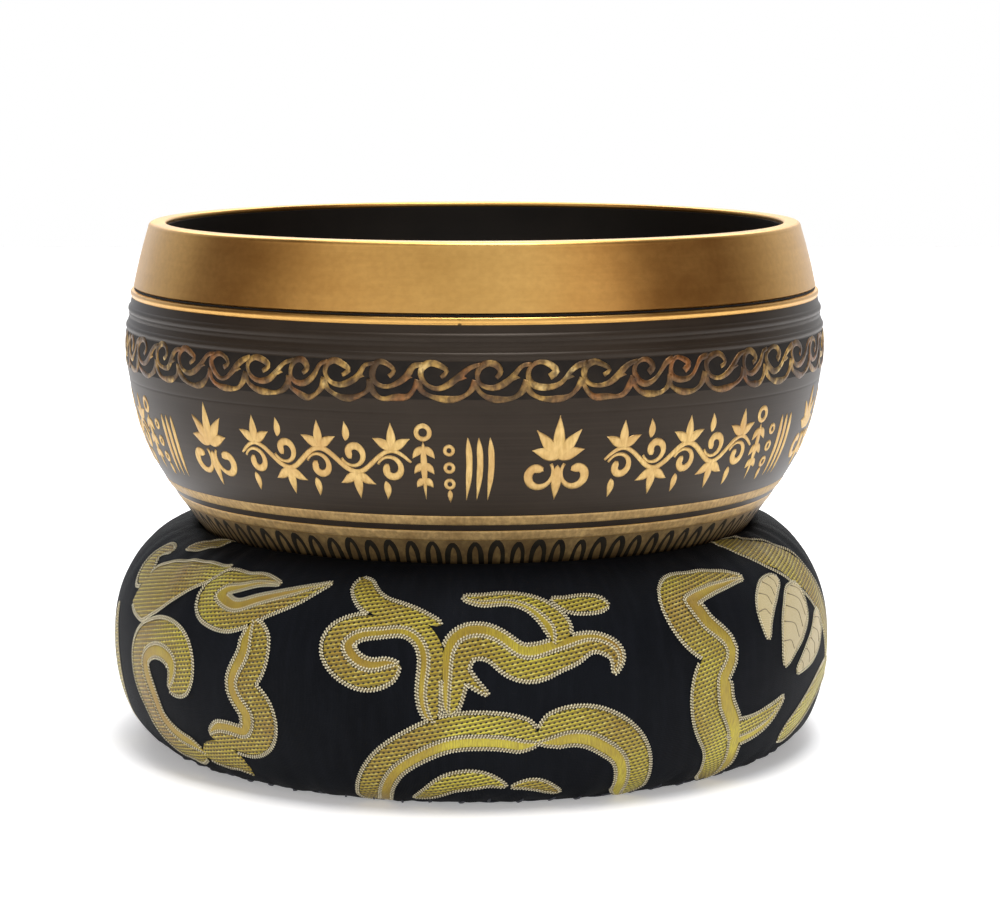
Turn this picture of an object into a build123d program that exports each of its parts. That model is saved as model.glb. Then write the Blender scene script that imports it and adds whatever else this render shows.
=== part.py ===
"""A six-inch turned brass singing bowl resting on a stuffed brocade ring cushion.

Millimetres, +Z up. The origin is on the table, at the centre of the cushion's underside.
The bowl is one piece of brass with dark lacquer laid into shallow turned recesses. The
cushion is a ring of cotton stuffing in a brocade cover, closed underneath by a plain cloth
and sewn by hand along its two bottom seams and up the join at the back.

Every round piece is a half section in the XZ plane, turned about Z. On the bowl a place on
the wall is given by its depth, which is measured down from the rim.
"""

import os
from math import cos, radians, sin

from build123d import *

os.makedirs("parts", exist_ok=True)

# ---------------------------------------------------------------- driving dimensions
BOWL_HEIGHT = 80.0
RIM_HEIGHT = 113.0  # the rim above the table, with the bowl sunk into its cushion
RIM_INNER_RADIUS = 66.7
RIM_OUTER_RADIUS = 70.5
RIM_ROUNDING = 1.1
BELLY_RADIUS = 76.0
BELLY_DEPTH = 27.5
WALL_AT_BELLY = 4.3
MOUTH_AND_FLOOR = ((0.24, 0, -1), (-1, 0, 0))  # the hollow's directions at its two ends
FLOOR_THICKNESS = 5.0
BASE_RADIUS = 35.5
FOOT_RADIUS = 30.0  # the shallow recess turned in the underside
FOOT_RECESS = 0.9

GROOVE_DEPTH = 14.1  # the turned groove under the plain brass band
GROOVE_RADIUS = 0.42
BEADS = {15.0: (0.80, 0.55), 18.3: (1.05, 0.75), 21.9: (0.95, 0.68)}  # depth: radius, buried

LACQUER = 0.3  # thickness of the coats, each let into a recess as deep
WALL_COAT = (15.9, 54.6)  # depths between which the outside is lacquered
LINE_COAT = (56.6, 57.9)  # the dark line between the two gold ones
LINE_EDGE_RADIUS = 0.28
BASE_COAT = (68.2, 79.9)
INSIDE_COAT_DEPTH = 2.4  # the hollow is lacquered from here down

CUSHION_RADIUS = 78.8
CUSHION_TOP = 47.4
COVER = 0.8  # thickness of the brocade, and of the cloth under the cushion
SEAM_INNER_RADIUS = 38.0
SEAM_OUTER_RADIUS = 67.0
SEAT_GAP = 0.3  # between the bowl and the dent that it has pressed in the cushion
SEAT_ROUNDING = 2.2

THREAD_RADIUS = 0.25
STITCH_LENGTH = 2.6
STITCH_CLEARANCE = 0.06
SEAM_HEIGHT = 1.7
OUTER_STITCHES = 72
INNER_STITCHES = 44
BACK_STITCHES = 13
BACK_SEAM = (5.0, 43.0)  # heights of its lowest and highest stitch
BACK_STITCH_LEAN = 20.0


# ---------------------------------------------------------------- section helpers
def at(radius, height):
    """A point of the half section."""
    return Vector(radius, 0, height)


def on_bowl(radius, depth):
    """A point of the half section, by its depth below the rim."""
    return at(radius, RIM_HEIGHT - depth)


def section_face(edges):
    return Face(Wire(edges))


def band(depth_from, depth_to, radius_from=0.0, radius_to=100.0):
    """A rectangle of the half section between two depths."""
    corners = [
        on_bowl(radius_from, depth_from),
        on_bowl(radius_to, depth_from),
        on_bowl(radius_to, depth_to),
        on_bowl(radius_from, depth_to),
    ]
    return section_face(Polyline(*corners, close=True).edges())


def disc(centre, radius):
    """A circle of the half section."""
    return Plane(origin=centre, z_dir=(0, 1, 0)) * Circle(radius)


def beside(edge, place, distance):
    """The point at a distance to the left of an edge, at a place from 0 to 1 along it."""
    tangent = edge.tangent_at(place)
    left = Vector(-tangent.Z, 0, tangent.X)
    return edge.position_at(place) + left * distance


def parallel(edge, distance, place_from=0.0, place_to=1.0):
    """The curve at a distance to the left of an edge, or of a stretch of it."""
    steps = 40
    places = [place_from + (place_to - place_from) * i / steps for i in range(steps + 1)]
    return Spline(*[beside(edge, place, distance) for place in places]).edge()


def turned(section):
    """The solid that a half section makes when it is turned about Z."""
    return revolve(section.faces(), Axis.Z, 360)


def save(shape, node):
    export_step(shape, f"parts/{node}.step")


# ---------------------------------------------------------------- bowl
# The outside as (radius, depth), from the rim down: nearly straight at first, fullest at the
# belly, then drawn in to a small flat base.
OUTSIDE = [
    (RIM_OUTER_RADIUS, 0.0),
    (72.4, 6.5),
    (74.2, 14.1),
    (75.5, 21.0),
    (BELLY_RADIUS, BELLY_DEPTH),
    (75.2, 34.5),
    (73.2, 43.5),
    (69.6, 52.0),
    (64.3, 60.0),
    (58.4, 68.0),
    (51.2, 74.2),
    (43.5, 78.2),
    (BASE_RADIUS, BOWL_HEIGHT),
]
# The hollow as (radius, depth), from the mouth down to the edge of its flat floor.
HOLLOW = [
    (RIM_INNER_RADIUS, 0.0),
    (68.4, 6.5),
    (69.9, 14.1),
    (71.2, 21.0),
    (BELLY_RADIUS - WALL_AT_BELLY, BELLY_DEPTH),
    (70.8, 34.5),
    (68.6, 43.5),
    (64.6, 52.0),
    (59.0, 60.0),
    (51.0, 67.2),
    (42.0, 72.2),
    (30.0, BOWL_HEIGHT - FLOOR_THICKNESS),
]


def outside_edge():
    return Spline(*[on_bowl(*p) for p in OUTSIDE]).edge()


def place_at_depth(depth):
    """How far along the outside, from 0 to 1, the wall reaches a depth."""
    edge = outside_edge()
    low, high = 0.0, 1.0
    for _ in range(30):
        middle = (low + high) / 2
        if RIM_HEIGHT - edge.position_at(middle).Z < depth:
            low = middle
        else:
            high = middle
    return low


def wall_point(depth, buried=0.0):
    """A point of the outside at a depth, or one buried under it in the metal."""
    return beside(outside_edge(), place_at_depth(depth), -buried)


def outside_region(outwards=0.0):
    """Everything inside the bowl's outside, or inside the curve that lies around it."""
    side = parallel(outside_edge(), outwards)
    top, bottom = side.position_at(0), side.position_at(1)
    return section_face(
        [
            side,
            Line(bottom, at(0, bottom.Z)).edge(),
            Line(at(0, bottom.Z), at(0, top.Z)).edge(),
            Line(at(0, top.Z), top).edge(),
        ]
    )


def hollow_region(outwards=0.0):
    """The bowl's hollow and the space over its mouth, or that much cut into the metal too."""
    side = parallel(Spline(*[on_bowl(*p) for p in HOLLOW], tangents=MOUTH_AND_FLOOR).edge(), outwards)
    mouth, floor_edge = side.position_at(0), side.position_at(1)
    above = RIM_HEIGHT + 5
    return section_face(
        [
            side,
            Line(floor_edge, at(0, floor_edge.Z)).edge(),
            Line(at(0, floor_edge.Z), at(0, above)).edge(),
            Line(at(0, above), at(mouth.X, above)).edge(),
            Line(at(mouth.X, above), mouth).edge(),
        ]
    )


def coat_region(depth_from, depth_to):
    """The strip along the outside between two depths, from under the lacquer outwards."""
    places = place_at_depth(depth_from), place_at_depth(depth_to)
    under = parallel(outside_edge(), -LACQUER, *places)
    over = parallel(outside_edge(), 2.0, *places)
    return section_face(
        [
            under,
            Line(under.position_at(1), over.position_at(1)).edge(),
            over,
            Line(over.position_at(0), under.position_at(0)).edge(),
        ]
    )


def bowl_body():
    """The bowl's half section, brass and lacquer together."""
    body = outside_region() - hollow_region()
    for depth, (radius, buried) in BEADS.items():
        body += disc(wall_point(depth, buried), radius)
    body -= disc(wall_point(GROOVE_DEPTH), GROOVE_RADIUS)
    for depth in LINE_COAT:
        body -= disc(wall_point(depth), LINE_EDGE_RADIUS)
    body -= band(BOWL_HEIGHT - FOOT_RECESS, BOWL_HEIGHT + 1, radius_to=FOOT_RADIUS)
    lip = [v for v in body.vertices() if v.Z > RIM_HEIGHT - 0.01 and v.X > 1]
    return fillet(lip, RIM_ROUNDING)


def bowl_sections():
    """Half sections of the bowl's brass and of each coat that is let into it."""
    body = bowl_body()
    hollow_coat = hollow_region(LACQUER) & band(INSIDE_COAT_DEPTH, BOWL_HEIGHT)
    coats = {
        "wall_lacquer": body & coat_region(*WALL_COAT),
        "foot_line_lacquer": body & coat_region(*LINE_COAT),
        "base_lacquer": body & coat_region(*BASE_COAT),
        "inside_lacquer": body & hollow_coat,
    }
    brass = body
    for coat in coats.values():
        brass -= coat
    return {"bowl_shell": brass} | coats


# ---------------------------------------------------------------- cushion
# The side as (radius, height), from the outer bottom seam over the top to the inner seam.
SIDE = [
    (SEAM_OUTER_RADIUS, 0.0),
    (72.6, 2.8),
    (76.2, 8.5),
    (78.2, 15.5),
    (CUSHION_RADIUS, 23.5),
    (77.7, 32.0),
    (74.4, 39.0),
    (69.4, 44.3),
    (62.5, CUSHION_TOP),
    (54.0, 46.6),
    (44.0, 40.5),
    (36.2, 31.5),
    (31.2, 20.0),
    (32.4, 8.0),
    (SEAM_INNER_RADIUS, 0.0),
]


def side_edge():
    """The side of the stuffed ring as it is before the bowl presses it down."""
    return Spline(*[at(*p) for p in SIDE]).edge()


def ring_region(inset):
    """The ring with the bowl's dent in it: whole, or as far inside its skin as the inset."""
    side = parallel(side_edge(), inset)
    stuffed = section_face([side, Line(side.position_at(1), side.position_at(0)).edge()])
    above_cloth = band(0, RIM_HEIGHT - inset)
    pressed = (stuffed & above_cloth) - outside_region(SEAT_GAP + inset)
    crest = max(pressed.vertices(), key=lambda v: v.Z)
    return fillet([crest], SEAT_ROUNDING - inset)


def cushion_sections():
    """Half sections of the brocade, the cloth under it and the stuffing."""
    stuffing = ring_region(COVER)
    cloth = band(RIM_HEIGHT - COVER, RIM_HEIGHT, SEAM_INNER_RADIUS, SEAM_OUTER_RADIUS)
    return {
        "brocade_cover": ring_region(0) - stuffing - cloth,
        "base_cloth": cloth,
        "filling_ring": stuffing,
    }


def stitch():
    """One stitch along Z: a short length of thread, drawn in at both ends."""
    thread = Cylinder(THREAD_RADIUS, STITCH_LENGTH)
    ends = thread.edges().filter_by(GeomType.CIRCLE)
    return chamfer(ends, THREAD_RADIUS * 2, THREAD_RADIUS * 0.5)


def side_place(height, outer):
    """A place along the cushion's side at a height, on its outer or its inner half."""
    edge = side_edge()
    steps = 1500
    half = range(steps // 2) if outer else range(steps // 2, steps)
    nearest = min(half, key=lambda i: abs(edge.position_at(i / steps).Z - height))
    return nearest / steps


def ring_of_stitches(height, outer, count):
    """Stitches that cross a bottom seam, each a separate piece of thread."""
    place = side_place(height, outer)
    middle = beside(side_edge(), place, -THREAD_RADIUS - STITCH_CLEARANCE)
    first = Plane(origin=middle, z_dir=side_edge().tangent_at(place)) * stitch()
    return Compound([Rot(0, 0, 360 * (i + 0.5) / count) * first for i in range(count)])


def back_seam():
    """Stitches that zigzag across the join of the cover's two ends, up the cushion's back."""
    stitches = []
    for i in range(BACK_STITCHES):
        height = BACK_SEAM[0] + (BACK_SEAM[1] - BACK_SEAM[0]) * i / (BACK_STITCHES - 1)
        place = side_place(height, outer=True)
        middle = beside(side_edge(), place, -THREAD_RADIUS - STITCH_CLEARANCE)
        lean = radians(BACK_STITCH_LEAN if i % 2 else -BACK_STITCH_LEAN)
        across = Vector(0, cos(lean), 0) + side_edge().tangent_at(place) * sin(lean)
        laid = Plane(origin=middle, z_dir=across) * stitch()
        stitches.append(Rot(0, 0, 90) * laid)
    return Compound(stitches)


# ---------------------------------------------------------------- build
def main():
    for node, section in (bowl_sections() | cushion_sections()).items():
        save(turned(section), node)
    save(ring_of_stitches(SEAM_HEIGHT, True, OUTER_STITCHES), "outer_seam_stitches")
    save(ring_of_stitches(SEAM_HEIGHT, False, INNER_STITCHES), "inner_seam_stitches")
    save(back_seam(), "back_seam_stitches")


main()
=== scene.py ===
"""The looks of a brass singing bowl on its brocade ring cushion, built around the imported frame.

Sizes are in millimetres until a mesh is made, and metres in the mesh. On the bowl a place is an
azimuth in degrees and a depth below the rim. On the cushion a place is in the flat cloth: x runs
round the ring from the front, and y runs up the side from the outer bottom seam.
"""

from math import cos, pi, radians, sin, tau

import bmesh
import bpy
import numpy as np
from mathutils import Euler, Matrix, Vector


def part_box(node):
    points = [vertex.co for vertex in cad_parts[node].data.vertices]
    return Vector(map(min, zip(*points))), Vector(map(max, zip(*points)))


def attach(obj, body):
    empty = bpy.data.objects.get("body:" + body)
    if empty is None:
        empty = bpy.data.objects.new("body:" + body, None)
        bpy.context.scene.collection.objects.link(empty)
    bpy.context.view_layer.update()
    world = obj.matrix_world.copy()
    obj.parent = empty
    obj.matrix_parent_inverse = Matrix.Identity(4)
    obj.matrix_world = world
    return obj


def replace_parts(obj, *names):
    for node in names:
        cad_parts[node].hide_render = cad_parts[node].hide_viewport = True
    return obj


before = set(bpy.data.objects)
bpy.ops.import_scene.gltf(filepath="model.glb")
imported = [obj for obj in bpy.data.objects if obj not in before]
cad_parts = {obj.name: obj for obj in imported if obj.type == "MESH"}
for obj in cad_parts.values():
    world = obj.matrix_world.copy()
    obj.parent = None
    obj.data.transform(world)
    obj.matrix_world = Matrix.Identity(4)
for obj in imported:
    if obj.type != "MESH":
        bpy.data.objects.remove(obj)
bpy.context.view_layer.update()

MM = 0.001
UV_SCALE = 0.01  # a woven piece's UVs: flat millimetres over 100
SHARP_EDGE = 35  # degrees between faces from which a turned edge stays sharp
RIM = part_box("bowl_shell")[1][2] / MM  # height of the rim above the table
BOWL_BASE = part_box("bowl_shell")[0][2] / MM
BOWL_HEIGHT = RIM - BOWL_BASE
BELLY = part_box("wall_lacquer")[1][0] / MM
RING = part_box("brocade_cover")[1][0] / MM  # the cushion's largest radius


# ------------------------------------------------------------------ curves
def fair(points, count):
    """A natural cubic curve through points, as evenly spaced points of its own."""
    knots = np.array(points, float)
    steps = np.hypot(*np.diff(knots, axis=0).T)
    at = np.r_[0, np.cumsum(steps)]
    size = len(knots)
    system = np.eye(size)
    right = np.zeros((size, 2))
    for i in range(1, size - 1):
        before, after = steps[i - 1], steps[i]
        system[i, i - 1 : i + 2] = before, 2 * (before + after), after
        slopes = (knots[i + 1] - knots[i]) / after - (knots[i] - knots[i - 1]) / before
        right[i] = 6 * slopes
    bend = np.linalg.solve(system, right)
    fine = np.linspace(0, at[-1], max(count * 4, 40))
    curve = cubic(at, knots, bend, fine)
    run = np.r_[0, np.cumsum(np.hypot(*np.diff(curve, axis=0).T))]
    return cubic(at, knots, bend, np.interp(np.linspace(0, run[-1], count), run, fine))


def cubic(at, knots, bend, places):
    """The natural cubic's points at places along its knots."""
    i = np.clip(np.searchsorted(at, places) - 1, 0, len(at) - 2)
    step = (at[i + 1] - at[i])[:, None]
    a = (at[i + 1] - places)[:, None] / step
    b = 1 - a
    straight = a * knots[i] + b * knots[i + 1]
    return straight + ((a**3 - a) * bend[i] + (b**3 - b) * bend[i + 1]) * step**2 / 6


def left_of(curve):
    """Unit vectors to the left of a plane curve at each of its points."""
    along = np.gradient(curve, axis=0)
    along /= np.maximum(np.hypot(*along.T), 1e-9)[:, None]
    return np.stack([-along[:, 1], along[:, 0]], axis=1)


def smooth_step(x):
    x = np.clip(x, 0, 1)
    return x * x * (3 - 2 * x)


# ------------------------------------------------------------------ meshes
def piece(name, verts, faces, body, material, uvs=None):
    """A mesh object in metres that rides on a body; uvs holds one pair for each face corner."""
    mesh = bpy.data.meshes.new(name)
    mesh.from_pydata([tuple(v) for v in np.asarray(verts) * MM], [], [tuple(f) for f in faces])
    if uvs is not None:
        layer = mesh.uv_layers.new(name="UVMap")
        layer.data.foreach_set("uv", np.asarray(uvs, float).ravel())
    mesh.materials.append(material)
    obj = bpy.data.objects.new(name, mesh)
    bpy.context.collection.objects.link(obj)
    mesh.shade_smooth()
    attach(obj, body)
    return obj


def grid_faces(rows, columns, closed_columns=False, closed_rows=False):
    """Quads over a grid of points stored row by row."""
    i = np.arange(rows if closed_rows else rows - 1)[:, None]
    j = np.arange(columns if closed_columns else columns - 1)[None, :]
    i2, j2 = (i + 1) % rows, (j + 1) % columns
    quads = np.stack([i * columns + j, i * columns + j2, i2 * columns + j2, i2 * columns + j], -1)
    return quads.reshape(-1, 4)


def turned(name, section, material, segments=512):
    """A piece of the bowl: a closed half section of (radius, height) turned about Z.

    The section runs counter-clockwise, with +radius to the right and +height up.
    """
    section = np.asarray(section, float)
    rows = len(section)
    angles = np.arange(segments) / segments * tau
    ring = np.stack([np.sin(angles), -np.cos(angles)], axis=1)
    xy = section[:, None, 0:1] * ring[None]
    z = np.repeat(section[:, 1:2], segments, axis=1)[..., None]
    verts = np.concatenate([xy, z], axis=2).reshape(-1, 3)
    faces = grid_faces(rows, segments, closed_columns=True, closed_rows=True)[:, ::-1]
    run = np.r_[0, np.cumsum(np.hypot(*np.diff(section, axis=0).T))]
    uvs = turned_uvs(rows, segments, run)
    obj = piece(name, verts, faces, "bowl", material, uvs=uvs)
    if section[:, 0].min() < 1e-6:
        weld(obj)
    obj.data.set_sharp_from_angle(angle=radians(SHARP_EDGE))
    return obj


def turned_uvs(rows, columns, run):
    """UVs of a turned grid: the part of the turn, and the run along the section over 100 mm."""
    i, j = np.meshgrid(np.arange(rows), np.arange(columns), indexing="ij")
    u0, u1 = j / columns, (j + 1) / columns
    v0 = run[i] / 100
    v1 = np.where(i + 1 < rows, run[(i + 1) % rows], run[-1] + 1) / 100
    corners = [np.stack(c, -1) for c in ((u0, v1), (u1, v1), (u1, v0), (u0, v0))]
    return np.stack(corners, axis=2).reshape(-1, 2)


def weld(obj):
    """Joins the points that lie together, such as those on the axis."""
    bm = bmesh.new()
    bm.from_mesh(obj.data)
    bmesh.ops.remove_doubles(bm, verts=bm.verts, dist=1e-7)
    bmesh.ops.dissolve_degenerate(bm, edges=bm.edges, dist=1e-8)
    bm.to_mesh(obj.data)
    bm.free()


class Strokes:
    """Many crowned strips laid on a surface, gathered into one mesh."""

    ACROSS = np.array([-1.0, -0.72, 0.0, 0.72, 1.0])
    CROWN = np.array([0.0, 0.75, 1.0, 0.75, 0.0])

    def __init__(self, surface, height, sink=0.12):
        self.surface, self.height, self.sink = surface, height, sink
        self.verts, self.faces, self.uvs, self.count = [], [], [], 0

    def add(self, line, half_widths, lift=0.0, closed=False):
        """Adds a strip along a line of flat places, as wide on each side as half_widths."""
        line = np.asarray(line, float)
        half = np.broadcast_to(np.asarray(half_widths, float), (len(line),))
        side = left_of(np.vstack([line[-2], line, line[1]]))[1:-1] if closed else left_of(line)
        low = self.sink * 0.25  # how far the strip's edges lie below the surface
        narrow = np.clip(half / 0.25, 0.15, 1)  # a strip's thin ends lie lower
        rows = []
        for a, c in zip(self.ACROSS, self.CROWN):
            flat = line + side * (half * a)[:, None]
            up = lift - low + (self.height + low) * c * narrow
            rows.append((flat, self.surface(flat, up)))
        for a in (0.9, -0.9):
            flat = line + side * (half * a)[:, None]
            rows.append((flat, self.surface(flat, np.full(len(line), lift - self.sink))))
        points = np.stack([r[1] for r in rows], axis=1)
        flats = np.stack([r[0] for r in rows], axis=1)
        self.close(points, flats, closed)

    def close(self, points, flats, closed):
        n, m = points.shape[:2]
        quads = grid_faces(n, m, closed_columns=True, closed_rows=closed)
        faces = [tuple(q) for q in quads + self.count]
        uv = flats.reshape(-1, 2)
        self.uvs += [uv[q] for q in quads]
        if not closed:
            first, last = np.arange(m), np.arange(m)[::-1] + (n - 1) * m
            faces += [tuple(first[::-1] + self.count), tuple(last[::-1] + self.count)]
            self.uvs += [uv[first[::-1]], uv[last[::-1]]]
        self.verts.append(points.reshape(-1, 3))
        self.faces += faces
        self.count += n * m

    def build(self, name, body, slot, material):
        uvs = np.concatenate(self.uvs) * UV_SCALE
        verts = np.concatenate(self.verts)
        return piece(name, verts, self.faces, body, material, uvs=uvs)


def tapered(points, width, count=26, start=0.25, end=0.45, tip=0.12):
    """A brush stroke through points: its line, and half widths that swell and then run out."""
    line = fair(points, count)
    t = np.linspace(0, 1, count)
    rise = tip + (1 - tip) * np.sqrt(smooth_step(t / start))
    fall = tip + (1 - tip) * smooth_step((1 - t) / end) ** 0.7
    return line, width / 2 * np.minimum(rise, fall)


def leaf(x, y, heading, length, width, bend=0.0, count=16):
    """A pointed leaf from a place, growing along a heading in degrees and bending as it goes."""
    t = np.linspace(0, 1, count)
    turn = np.radians(heading + bend * t)
    step = length / (count - 1)
    line = np.cumsum(np.stack([np.cos(turn), np.sin(turn)], axis=1), axis=0) * step
    half = width / 2 * np.maximum(np.sin(pi * t**0.75), 0.06)
    return line - line[0] + (x, y), half


def curl(x, y, radius, start, sweep, width, inner=0.25, count=34):
    """A spiral that winds in from a place on its outer turn to a fat end near its eye."""
    t = np.linspace(0, 1, count)
    angle = np.radians(start + sweep * t)
    r = radius * (1 - (1 - inner) * t)
    line = np.stack([x + r * np.cos(angle), y + r * np.sin(angle)], axis=1)
    half = width / 2 * (0.35 + 0.65 * smooth_step(t * 1.6)) * np.where(t > 0.94, 0.7, 1)
    return line, half


def ring(x, y, radius, width, count=24):
    """A closed round line."""
    angle = np.arange(count) / count * tau
    return np.stack([x + radius * np.cos(angle), y + radius * np.sin(angle)], axis=1), width / 2


# ------------------------------------------------------------------ materials
class Shader:
    """A material with short calls to make and join its nodes."""

    def __init__(self, name, **sockets):
        self.material = bpy.data.materials.new(name)
        self.material.use_nodes = True
        self.tree = self.material.node_tree
        self.bsdf = self.tree.nodes["Principled BSDF"]
        for key, value in sockets.items():
            self.bsdf.inputs[key.replace("_", " ")].default_value = value

    def node(self, kind, inputs=(), **settings):
        node = self.tree.nodes.new("ShaderNode" + kind)
        for key, value in settings.items():
            setattr(node, key, value)
        for key, value in dict(inputs).items():
            if isinstance(value, bpy.types.NodeSocket):
                self.tree.links.new(value, node.inputs[key])
            else:
                node.inputs[key].default_value = value
        return node

    def link(self, output, socket):
        self.tree.links.new(output, self.bsdf.inputs[socket])

    def place(self, scale=(1, 1, 1)):
        """Object coordinates in metres, stretched."""
        coords = self.node("TexCoord").outputs["Object"]
        return self.node("Mapping", {"Vector": coords, "Scale": scale}).outputs[0]

    def uv(self, scale=(1, 1, 1)):
        coords = self.node("TexCoord").outputs["UV"]
        return self.node("Mapping", {"Vector": coords, "Scale": scale}).outputs[0]

    def noise(self, vector, scale, detail=4.0, roughness=0.55):
        settings = {"Vector": vector, "Scale": scale, "Detail": detail, "Roughness": roughness}
        return self.node("TexNoise", settings).outputs["Fac"]

    def math(self, operation, a, b=0.0, c=0.0):
        return self.node("Math", {0: a, 1: b, 2: c}, operation=operation).outputs[0]

    def ramp(self, value, *stops):
        """Maps a value through (place, colour) stops."""
        node = self.node("ValToRGB", {"Fac": value})
        elements = node.color_ramp.elements
        while len(elements) < len(stops):
            elements.new(0.5)
        for element, (place, colour) in zip(elements, stops):
            element.position = place
            if isinstance(colour, (int, float)):
                colour = (colour, colour, colour)
            element.color = (*colour, 1)
        return node.outputs["Color"]

    def mix(self, factor, a, b, blend="MIX"):
        node = self.node("Mix", data_type="RGBA", blend_type=blend)
        for socket, value in ((node.inputs[0], factor), (node.inputs[6], a), (node.inputs[7], b)):
            if isinstance(value, bpy.types.NodeSocket):
                self.tree.links.new(value, socket)
            else:
                socket.default_value = value if isinstance(value, float) else (*value, 1)
        return node.outputs[2]

    def bump(self, height, distance, strength=1.0, normal=None):
        inputs = {"Height": height, "Distance": distance, "Strength": strength}
        if normal is not None:
            inputs["Normal"] = normal
        return self.node("Bump", inputs).outputs[0]


def brass():
    """Turned brass: polished, hazed by handling, with fine rings from the lathe and dark specks."""
    s = Shader("turned_brass", Metallic=1.0, Anisotropic=0.25)
    lathe = s.noise(s.place((14, 14, 2600)), 1.0, 3.0)
    smears = s.noise(s.place((60, 60, 90)), 1.0, 5.0)
    grain = s.noise(s.place((700, 700, 900)), 1.0, 3.0)
    streaks = s.noise(s.place((26, 26, 700)), 1.0, 4.0)
    specks = s.noise(s.place((250, 250, 380)), 1.0, 2.0)
    tone = s.ramp(smears, (0.30, (0.64, 0.365, 0.105)), (0.72, (0.76, 0.455, 0.140)))
    tone = s.mix(s.ramp(streaks, (0.35, 0.0), (0.8, 0.30)), tone, (0.50, 0.26, 0.065))
    tone = s.mix(s.ramp(grain, (0.35, 0.22), (0.65, 0.0)), tone, (0.42, 0.22, 0.06))
    tone = s.mix(s.ramp(specks, (0.76, 0.0), (0.80, 0.85)), tone, (0.06, 0.03, 0.012))
    s.link(tone, "Base Color")
    s.link(s.ramp(smears, (0.25, 0.27), (0.75, 0.36)), "Roughness")
    s.link(s.bump(lathe, 0.00004, 0.4, s.bump(grain, 0.00003, 0.35)), "Normal")
    return s.material


def lacquer():
    """Brown-black lacquer over turned brass: a soft gloss with faint rings and rubbed spots."""
    s = Shader("wall_lacquer_brown", Roughness=0.40, Specular_IOR_Level=0.25)
    s.bsdf.inputs["Specular Tint"].default_value = (1.0, 0.86, 0.74, 1)
    lathe = s.noise(s.place((10, 10, 2000)), 1.0, 3.0)
    cloud = s.noise(s.place((45, 45, 60)), 1.0, 5.0)
    tone = s.ramp(cloud, (0.3, (0.0150, 0.0105, 0.0075)), (0.7, (0.0245, 0.0180, 0.0130)))
    tone = s.mix(s.ramp(lathe, (0.45, 0.0), (0.85, 0.5)), tone, (0.038, 0.028, 0.020))
    s.link(tone, "Base Color")
    s.link(s.bump(lathe, 0.00004, 0.35), "Normal")
    return s.material


def scroll_ground_and_groove_shade():
    """The near-black ground between the raised lines of the scroll band, and a dark strip in the
    groove that is painted shade.
    """
    s = Shader("scroll_ground", Roughness=0.6, Specular_IOR_Level=0.2)
    cloud = s.noise(s.place((260, 260, 260)), 1.0, 4.0)
    tone = s.ramp(cloud, (0.3, (0.0045, 0.0030, 0.0020)), (0.75, (0.016, 0.0105, 0.0065)))
    s.link(tone, "Base Color")
    s.link(s.bump(cloud, 0.00012, 0.5), "Normal")
    return s.material


def hollow_coat():
    """The dull brown-black coat inside the bowl."""
    s = Shader("hollow_coat_black", Roughness=0.55)
    cloud = s.noise(s.place((50, 50, 50)), 1.0, 5.0)
    lathe = s.noise(s.place((10, 10, 1500)), 1.0, 3.0)
    s.link(s.ramp(cloud, (0.3, (0.009, 0.007, 0.005)), (0.75, (0.020, 0.015, 0.011))), "Base Color")
    s.link(s.bump(lathe, 0.00005, 0.4), "Normal")
    return s.material


def cut_gold():
    """Brass bared by the engraver: pale gold with fine strokes of the tool."""
    s = Shader("cut_gold", Metallic=0.75)
    strokes = s.noise(s.place((1500, 1500, 260)), 1.0, 2.0)
    cloud = s.noise(s.place((160, 160, 160)), 1.0, 3.0)
    tone = s.ramp(strokes, (0.32, (0.55, 0.365, 0.130)), (0.68, (0.74, 0.53, 0.220)))
    tone = s.mix(s.ramp(cloud, (0.35, 0.55), (0.65, 0.0)), tone, (0.42, 0.23, 0.08))
    s.link(tone, "Base Color")
    s.link(s.ramp(cloud, (0.3, 0.36), (0.7, 0.52)), "Roughness")
    s.link(s.bump(strokes, 0.00008, 0.6), "Normal")
    return s.material


def copper_gold():
    """The scroll band's lines: worn copper-brown, broken by dark patches, with a few painted gold
    highlights where the cloud runs highest.
    """
    s = Shader("scroll_gold", Metallic=0.55)
    strokes = s.noise(s.place((1100, 1100, 700)), 1.0, 2.0)
    cloud = s.noise(s.place((120, 120, 120)), 1.0, 3.0)
    patch = s.noise(s.place((210, 210, 210)), 1.0, 3.0)
    red, brown, yellow = (0.27, 0.105, 0.030), (0.20, 0.110, 0.040), (0.44, 0.27, 0.075)
    # the brightest stop is painted highlight, bright gold where the cloud runs high; the lower
    # stops are the worn copper tone
    tone = s.ramp(cloud, (0.30, red), (0.46, brown), (0.58, yellow), (0.68, (0.78, 0.57, 0.24)))
    tone = s.mix(s.ramp(patch, (0.40, 0.80), (0.52, 0.0)), tone, (0.045, 0.027, 0.015))
    tone = s.mix(s.ramp(strokes, (0.36, 0.65), (0.60, 0.0)), tone, (0.05, 0.026, 0.012))
    s.link(tone, "Base Color")
    s.link(s.ramp(cloud, (0.3, 0.34), (0.7, 0.5)), "Roughness")
    s.link(s.bump(strokes, 0.00012, 0.9), "Normal")
    return s.material


def dull_brass(name, dark, light, hollows):
    """Cast brass that has dulled, between two tones, darkened in its hollows."""
    s = Shader(name, Metallic=0.5)
    cloud = s.noise(s.place((170, 170, 170)), 1.0, 4.0)
    strokes = s.noise(s.place((1200, 1200, 400)), 1.0, 2.0)
    tone = s.ramp(cloud, (0.3, dark), (0.7, light))
    tone = s.mix(s.ramp(strokes, (0.35, hollows), (0.65, 0.0)), tone, (0.10, 0.06, 0.025))
    s.link(tone, "Base Color")
    s.link(s.ramp(cloud, (0.3, 0.42), (0.7, 0.56)), "Roughness")
    s.link(s.bump(strokes, 0.00008, 0.5), "Normal")
    return s.material


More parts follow.
